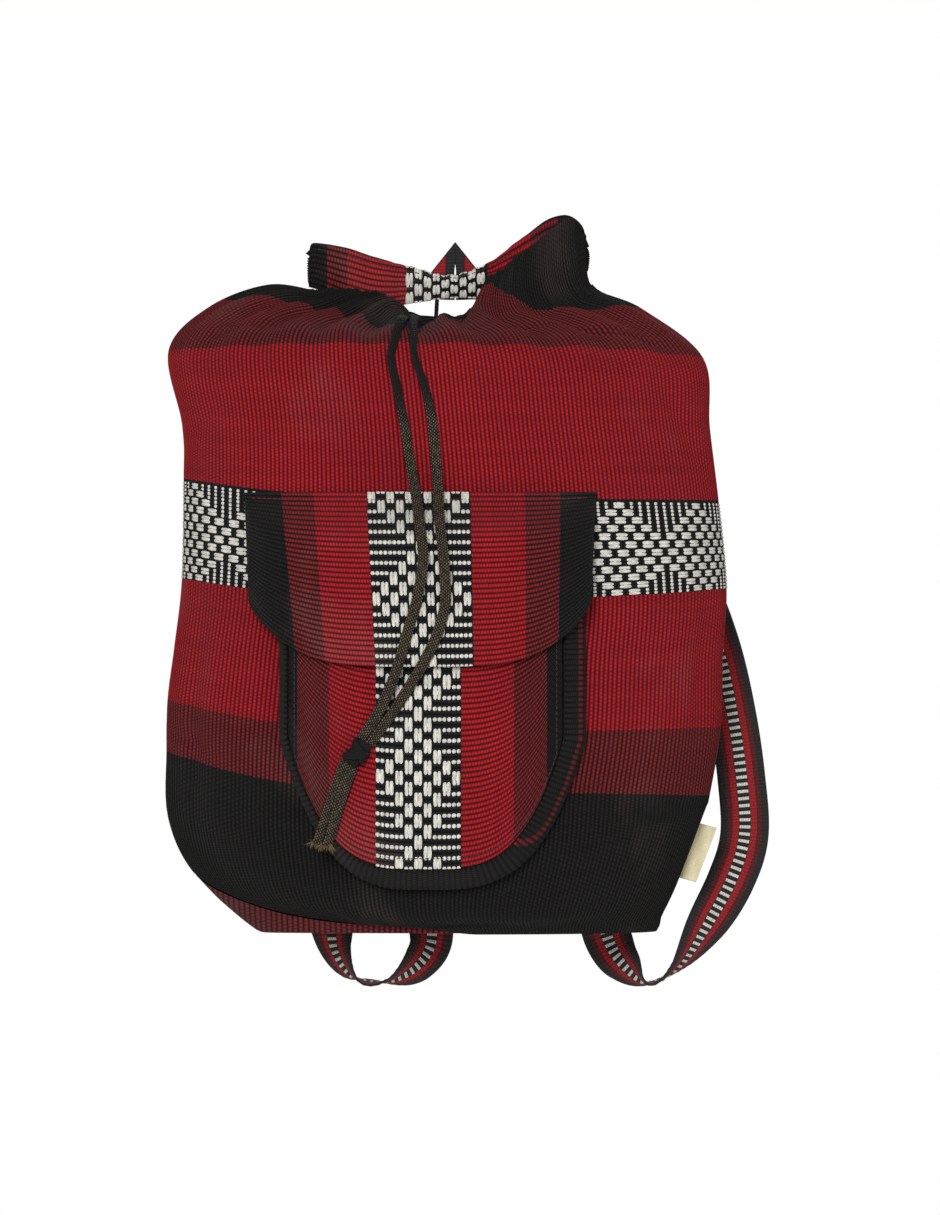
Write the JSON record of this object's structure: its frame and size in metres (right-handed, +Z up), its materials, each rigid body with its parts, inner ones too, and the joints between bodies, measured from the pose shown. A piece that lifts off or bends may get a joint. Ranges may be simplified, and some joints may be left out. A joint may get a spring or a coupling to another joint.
{
  "type": "woven_drawstring_backpack",
  "caption": "Stuffed striped cotton drawstring backpack with a flap pocket, webbing shoulder straps, a pointed hang loop and a knotted drawcord.",
  "frame": {"origin": "the point inside the hang loop's fold where the hook bears", "axes": "+Z up as the bag hangs, +X to the right seen from the pocket side, the pocket faces -Y"},
  "size_m": [0.3953, 0.2183, 0.5058],
  "materials": {
    "striped_cloth": "matte",
    "upright_cloth": "matte",
    "dark_red_cloth": "matte",
    "gusset_cloth": "matte",
    "webbing": "matte",
    "braid": "matte",
    "bare_label": "matte"
  },
  "bodies": {
    "root": {"front_panel": "striped_cloth", "back_panel": "striped_cloth", "base_panel": "dark_red_cloth", "rear_casing": "upright_cloth", "pocket_front": "upright_cloth", "pocket_gusset": "gusset_cloth", "pocket_flap": "upright_cloth", "strap_right": "webbing", "strap_left": "webbing", "hang_loop": "webbing", "side_label": "bare_label", "drawcord_left": "braid", "drawcord_right": "braid", "drawcord_tail_left": "braid", "drawcord_tail_right": "braid", "drawcord_crossing": "braid", "drawcord_knot": "braid"}
  },
  "joints": []
}
